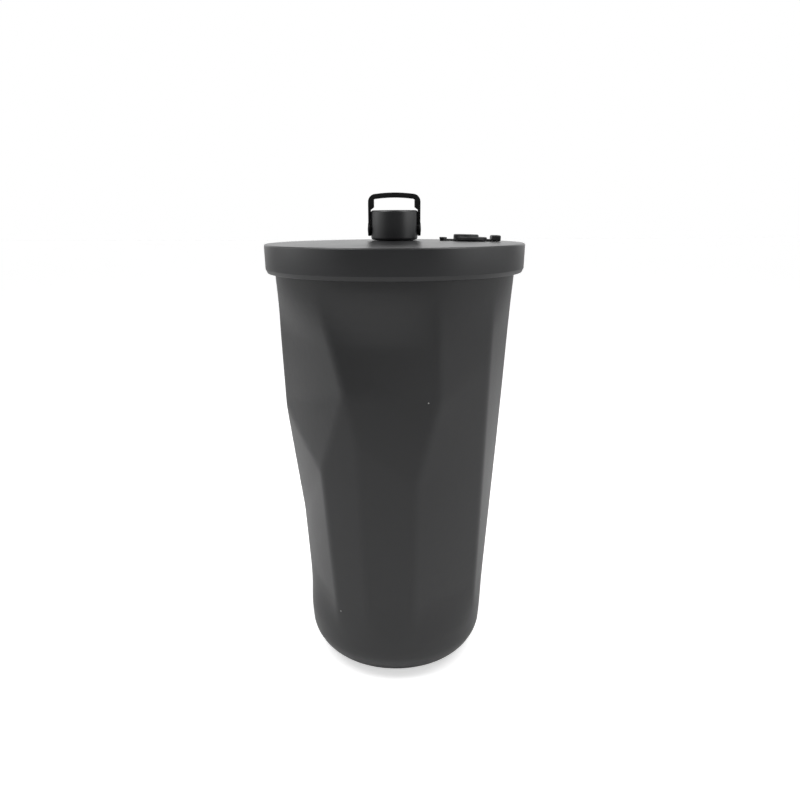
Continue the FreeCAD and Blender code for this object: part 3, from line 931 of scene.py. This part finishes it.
@dataclass
class Lid:
    """The lid's domed cover, in millimetres."""

    radius: float = 49.0
    rise: float = 0.9
    rim: float = 1.0
    edge_z: float = 168.8
    edge_inset: float = 1.6
    roof_inset: float = 1.2
    dome_rings: int = 14
    columns: int = 192
    drill_reach: float = 6.0
    wall: float = 1.8
    skirt_draft: float = 0.2
    lip_width: float = 0.9
    lip_height: float = 1.5
    skirt_in: float = 47.1
    neck_hole: float = 6.15
    sip_x: float = 28.9
    sip_hole: float = 4.0
    anchor_x: float = 18.5
    anchor_hole: float = 1.2

    def sphere(self) -> float:
        """Radius of the sphere that the dome is part of."""
        return ((self.radius - self.rim) ** 2 + self.rise ** 2) / (2 * self.rise)

    def dome(self, r: float) -> float:
        """Height of the dome at a distance from the axis."""
        sphere = self.sphere()
        return self.edge_z + self.rise - sphere + math.sqrt(sphere ** 2 - r ** 2)

    def build_cover(self, finish: bpy.types.Material) -> bpy.types.Object:
        """Cover with its skirt, rounded edge, neck hole, sip hole and strap hole."""
        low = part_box("lid_cover")[0].z / MM
        span = self.radius - self.edge_inset - self.neck_hole
        rings = [self.neck_hole + span * k / self.dome_rings for k in range(self.dome_rings + 1)]
        edge_z = self.edge_z - self.rise / (self.radius - self.rim)
        corners = [Corner(r, self.dome(r)) for r in rings]
        corners += [
            Corner(self.radius, edge_z, 0.6, 8),
            Corner(self.radius - self.skirt_draft, low + self.lip_height, 0.3, 4),
            Corner(self.radius - self.lip_width, low, 0.3, 4), Corner(self.skirt_in, low, 0.25, 3),
            Corner(self.skirt_in, self.dome(self.skirt_in) - self.wall, 1.0, 4),
        ]
        under = [r for r in rings[::-1] if r < self.skirt_in - self.roof_inset]
        corners += [Corner(r, self.dome(r) - self.wall) for r in under]
        cover = Bench.turned("domed_cover", corners, steps=self.columns)
        foot, head = self.edge_z - self.drill_reach, self.edge_z + self.drill_reach
        for x, r in ((self.sip_x, self.sip_hole), (self.anchor_x, self.anchor_hole)):
            Bench.combine(cover, Bench.rod("drill", r, foot, head, x=x), "DIFFERENCE")
        Bench.shade(cover)
        return dress(cover, finish, Body.LID, Slot.LID_BLACK, "lid_cover")


# ------------------------------------------------------------------ cap and carry loop


@dataclass
class LoopCap:
    """The straw port's screw cap with its pins and carry loop, in millimetres."""

    radius: float = 8.8
    bore: float = 7.1
    roof: float = 1.55
    groove: tuple[float, float, float] = (6.2, 6.6, 7.0)
    groove_depth: float = 0.12
    pin_z: float = 173.8
    pin_r: float = 0.9
    pin_in: float = 7.5
    pin_proud: float = 0.12
    pin_crown: float = 0.15
    loop_out: float = 9.8
    bar: float = 1.75
    arm_in: float = 8.83
    eye_in: float = 7.6
    depth: float = 3.6
    bend: float = 2.9
    arch: float = 0.45
    boss_r: float = 2.45
    boss_out: float = 9.95
    step: tuple[float, float, float] = (0.2, 0.6, 1.1)
    strides: int = 8
    edge_bevel: float = 0.32
    shade_angle: float = 40.0

    def build_cap(self, finish: bpy.types.Material) -> bpy.types.Object:
        """Hollow round cap with a rounded foot and a crisp top edge."""
        low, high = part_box("screw_cap")
        base, top = low.z / MM, high.z / MM
        inner, middle, outer = self.groove
        cap = Bench.turned("loop_cap", [
            Corner(0, top), Corner(inner, top), Corner(middle, top - self.groove_depth, 0.2, 3),
            Corner(outer, top, 0.2, 3),
            Corner(self.radius, top, 0.75, 6), Corner(self.radius, base, 1.0, 6),
            Corner(self.bore, base, 0.25, 3), Corner(self.bore, top - self.roof, 0.3, 3),
            Corner(0, top - self.roof),
        ], steps=128, closed=False)
        return dress(cap, finish, Body.CAP, Slot.CAP_BLACK, "screw_cap")

    def build_pins(self, finish: bpy.types.Material) -> bpy.types.Object:
        """Two hinge pins with rounded ends."""
        pins: list[bpy.types.Object] = []
        for side in (-1, 1):
            pin = Bench.turned("hinge_pins", [
                Corner(0, self.pin_in), Corner(self.pin_r, self.pin_in, 0.15, 2),
                Corner(self.pin_r, self.boss_out + self.pin_proud, 0.1, 3),
                Corner(0, self.boss_out + self.pin_crown),
            ], steps=40, closed=False)
            Bench.activate(pin)
            pin.rotation_euler = (0, side * math.pi / 2, 0)
            pin.location = (0, 0, self.pin_z * MM)
            bpy.ops.object.transform_apply(location=True, rotation=True)
            pins.append(pin)
        Bench.clear()
        for pin in pins:
            pin.select_set(True)
        bpy.context.view_layer.objects.active = pins[0]
        bpy.ops.object.join()
        Bench.clear()
        return dress(pins[0], finish, Body.CAP, Slot.PIN_STEEL, "loop_pins")

    def build_loop(self, finish: bpy.types.Material) -> bpy.types.Object:
        """Loop drawn up one arm, round both bends and down the other, with hinge bosses.

        Each arm steps in just above the cap: step holds where it starts, is halfway and ends.
        """
        middle = self.loop_out - self.bar / 2
        cap_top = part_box("screw_cap")[1].z / MM
        bend_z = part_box("carry_loop")[1].z / MM - self.arch - self.bend
        Bench.clear()
        bpy.ops.mesh.primitive_plane_add(size=1, location=(-middle * MM, 0, self.pin_z * MM))
        loop = Bench.adopt("carry_loop_moulded")
        loop.scale = (self.bar * MM, self.depth * MM, 1)
        bpy.ops.object.transform_apply(location=True, scale=True)
        Bench.edit(loop, "FACE")
        step_from, step_mid, step_to = self.step
        heights = [cap_top + step_from, cap_top + step_to, bend_z]
        here = self.pin_z
        for z in heights:
            self._draw(0, z - here)
            here = z
        self._bend(-self.loop_out + self.bend, bend_z)
        span = 2 * (self.loop_out - self.bend)
        for k in range(self.strides):
            rise = [self.arch * (1 - (2 * j / self.strides - 1) ** 2) for j in (k, k + 1)]
            self._draw(span / self.strides, rise[1] - rise[0])
        self._bend(self.loop_out - self.bend, bend_z)
        for z in [*heights[1::-1], self.pin_z]:
            self._draw(0, z - here)
            here = z
        Bench.close(loop)
        inner_top = (bend_z + self.bend - self.bar) * MM + 1e-5
        for point in loop.data.vertices:
            reach = abs(point.co.x)
            if reach > middle * MM or point.co.z > inner_top:
                continue
            beside = point.co.z < (cap_top + step_mid) * MM
            reach = self.arm_in * MM if beside else min(reach, self.eye_in * MM)
            point.co.x = math.copysign(reach, point.co.x)
        for side in (-1, 1):
            boss = Bench.rod("boss", self.boss_r, self.arm_in, self.boss_out, bevel=0.25)
            Bench.activate(boss)
            boss.rotation_euler = (0, side * math.pi / 2, 0)
            boss.location = (0, 0, self.pin_z * MM)
            bpy.ops.object.transform_apply(location=True, rotation=True)
            Bench.combine(loop, boss, "UNION")
        Bench.modify(
            loop, "BEVEL", width=self.edge_bevel * MM, segments=3, limit_method="ANGLE", angle_limit=0.7
        )
        Bench.shade(loop, self.shade_angle)
        return dress(loop, finish, Body.LOOP, Slot.LOOP_BLACK, "carry_loop")

    @staticmethod
    def _draw(x: float, z: float) -> None:
        """Draws the open end on by (x, z) millimetres."""
        bpy.ops.mesh.extrude_region_move(TRANSFORM_OT_translate={"value": (x * MM, 0, z * MM)})

    @staticmethod
    def _bend(x: float, z: float) -> None:
        """Bends the open end a quarter turn to the right about (x, z)."""
        bpy.ops.mesh.spin(steps=8, angle=math.pi / 2, center=(x * MM, 0, z * MM), axis=(0, -1, 0))


# ------------------------------------------------------------------ stopper


@dataclass
class SipStopper:
    """The one-piece silicone stopper: button, strap, plug disc, stem, tab and grip."""

    lid: Lid
    hinge_x: float = 21.3
    voxel_mm: float = 0.13
    shade_angle: float = 60.0

    def build(self, finish: bpy.types.Material) -> bpy.types.Object:
        """Joins the moulding from its shapes, melts them together and lays it on the dome."""
        sip, button = self.lid.sip_x, self.lid.anchor_x
        parts = [
            Bench.rod("silicone_stopper", 6.2, 0.1, 1.5, x=sip, bevel=0.3),
            Bench.rod("tier", 4.75, 0.1, 2.4, x=27.2, bevel=0.35),
            Bench.rod("stem", 2.9, -3.4, 0.4, x=sip, top_radius=3.6),
            Bench.block("tab", sip, 38.0, 4.6, 0.1, 0.8, 0.2),
            Bench.block("grip", 36.6, 40.1, 6.0, 0.1, 2.3, 0.5),
            Bench.block("strap", button, sip, 5.0, 0.1, 0.62, 0.15),
            Bench.rod("button_head", 1.25, 0.1, 1.25, x=button, bevel=0.2, top_radius=1.5),
            Bench.rod("button_stem", 1.05, -3.0, 0.3, x=button),
            Bench.rod("bulb", 1.0, -4.0, -2.4, x=button, top_radius=1.95),
        ]
        stopper = parts[0]
        for part in parts[1:]:
            Bench.combine(stopper, part, "UNION")
        Bench.modify(stopper, "REMESH", mode="VOXEL", voxel_size=self.voxel_mm * MM)
        Bench.modify(stopper, "SMOOTH", factor=0.5, iterations=3)
        slope = math.asin(sip / self.lid.sphere())
        pivot = Vector((sip * MM, 0, self.lid.dome(sip) * MM))
        Bench.activate(stopper)
        for point in stopper.data.vertices:
            flat = point.co - Vector((sip * MM, 0, 0))
            turned = Vector((
                flat.x * math.cos(slope) + flat.z * math.sin(slope), flat.y,
                flat.z * math.cos(slope) - flat.x * math.sin(slope),
            ))
            point.co = pivot + turned
        Bench.shade(stopper, self.shade_angle)
        dress(stopper, finish, None, Slot.SILICONE, "stopper_anchor", "sip_stopper")
        strap_z = self.lid.dome(self.hinge_x) * MM
        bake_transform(stopper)
        return stopper


# ------------------------------------------------------------------ studio


@dataclass
class Studio:
    """Floor, light and camera.

    The surround is given from the front (place 0) round to the back (place 1), as (place, level).
    """

    distance: float = 0.259
    height: float = 0.1774
    pitch: float = 0.2666
    roll: float = 0.0045
    lens: float = 29.76
    shift: float = 0.0071
    left_ring: tuple[tuple[float, float], ...] = (
        (0.10, 0.10), (0.30, 0.50), (0.55, 0.85), (0.80, 0.25), (0.95, 0.50),
    )
    right_ring: tuple[tuple[float, float], ...] = (
        (0.10, 0.10), (0.26, 0.95), (0.55, 0.60), (0.75, 0.18), (0.95, 0.50),
    )
    ring_power: float = 2.7
    side_blend: float = 0.3
    ceiling: float = 0.30
    ceiling_ramp: tuple[float, float] = (0.35, 0.65)
    floor_size: float = 12.0
    panel_size: float = 0.35
    aim_z: float = 0.1
    panels: tuple[tuple[str, float, float, float, float], ...] = (
        ("left_panel", -0.30, -0.12, 0.62, 2.3), ("right_panel", 0.30, -0.12, 0.62, 2.0),
    )

    def build_floor(self, finish: bpy.types.Material) -> None:
        """Wide pale floor."""
        Bench.clear()
        bpy.ops.mesh.primitive_plane_add(size=self.floor_size, location=(0, 0, 0))
        floor = Bench.adopt("floor")
        floor.data.materials.append(finish)

    def build_light(self) -> None:
        """Surround that is dim in front and bright beside and behind, and overhead panels."""
        world = bpy.data.worlds.new("studio")
        bpy.context.scene.world = world
        world.use_nodes = True
        bench = NodeBench(world.node_tree)
        x, y, up = bench.split(bench.node("ShaderNodeTexCoord", {}, {}).outputs["Generated"])
        level = bench.node("ShaderNodeCombineXYZ", {}, {0: x, 1: y}).outputs[0]
        flat = bench.node("ShaderNodeVectorMath", {"operation": "NORMALIZE"}, {0: level})
        side, depth, _ = bench.split(flat.outputs[0])
        place = depth * 0.5 + 0.5
        left, right = bench.steps(place, self.left_ring), bench.steps(place, self.right_ring)
        across = side.ramp(-self.side_blend, self.side_blend)
        ring = (left + (right - left) * across) * self.ring_power
        light = ring + (self.ceiling - ring) * up.ramp(*self.ceiling_ramp)
        seen = Signal(bench, bench.node("ShaderNodeLightPath", {}, {}).outputs["Is Camera Ray"])
        glow = bench.node("ShaderNodeBackground", {}, {0: (1, 1, 1, 1), 1: light + (1.0 - light) * seen})
        bench.node("ShaderNodeOutputWorld", {}, {0: glow.outputs[0]})
        for name, px, py, pz, power in self.panels:
            data = bpy.data.lights.new(name, "AREA")
            data.energy = power
            data.size = self.panel_size
            lamp = bpy.data.objects.new(name, data)
            lamp.location = (px, py, pz)
            aim = Vector((0, 0, self.aim_z)) - lamp.location
            lamp.rotation_euler = aim.to_track_quat("-Z", "Y").to_euler()
            bpy.context.scene.collection.objects.link(lamp)

    def build_camera(self) -> None:
        """Camera a little above the lid, looking slightly down."""
        data = bpy.data.cameras.new("camera")
        data.lens = self.lens
        data.sensor_width = 36.0
        data.shift_x = self.shift
        data.clip_start = 0.01
        camera = bpy.data.objects.new("camera", data)
        camera.location = (0, -self.distance, self.height)
        camera.rotation_euler = (math.pi / 2 - self.pitch, self.roll, 0)
        bpy.context.scene.collection.objects.link(camera)
        bpy.context.scene.camera = camera
        bpy.context.scene.view_settings.view_transform = "Standard"


def dress_cad_nodes(kit: FinishKit) -> None:
    """Gives every CAD node that stays its finish."""
    finishes = {
        "outer_base": kit.coat, "getter": kit.steel, "vacuum_bead": kit.glass, "lid_plug": kit.plug,
        "lid_foam": kit.foam, "lid_gasket": kit.gasket, "spout_neck": kit.plug, "neck_gasket": kit.gasket,
        "port_seal": kit.gasket, "cap_seal": kit.gasket,
    }
    for name, finish in finishes.items():
        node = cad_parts[name]
        node.data.materials.clear()
        node.data.materials.append(finish)
        log.info("%s: CAD node kept", name)


def main() -> None:
    """Builds the tumbler and its studio."""
    logging.basicConfig(level=logging.INFO, format="%(message)s")
    kit = FinishKit()
    dress_cad_nodes(kit)
    cup = Cup(FacetedWall())
    cup.build_shell(kit.coat)
    cup.build_liner(kit.steel)
    cup.build_pad(kit.silicone)
    lid = Lid()
    lid.build_cover(kit.lid)
    cap = LoopCap()
    cap.build_cap(kit.cap)
    cap.build_pins(kit.pin)
    cap.build_loop(kit.loop)
    SipStopper(lid).build(kit.silicone)
    studio = Studio()
    studio.build_floor(kit.paper)
    studio.build_light()
    studio.build_camera()


if __name__ == "__main__":
    main()
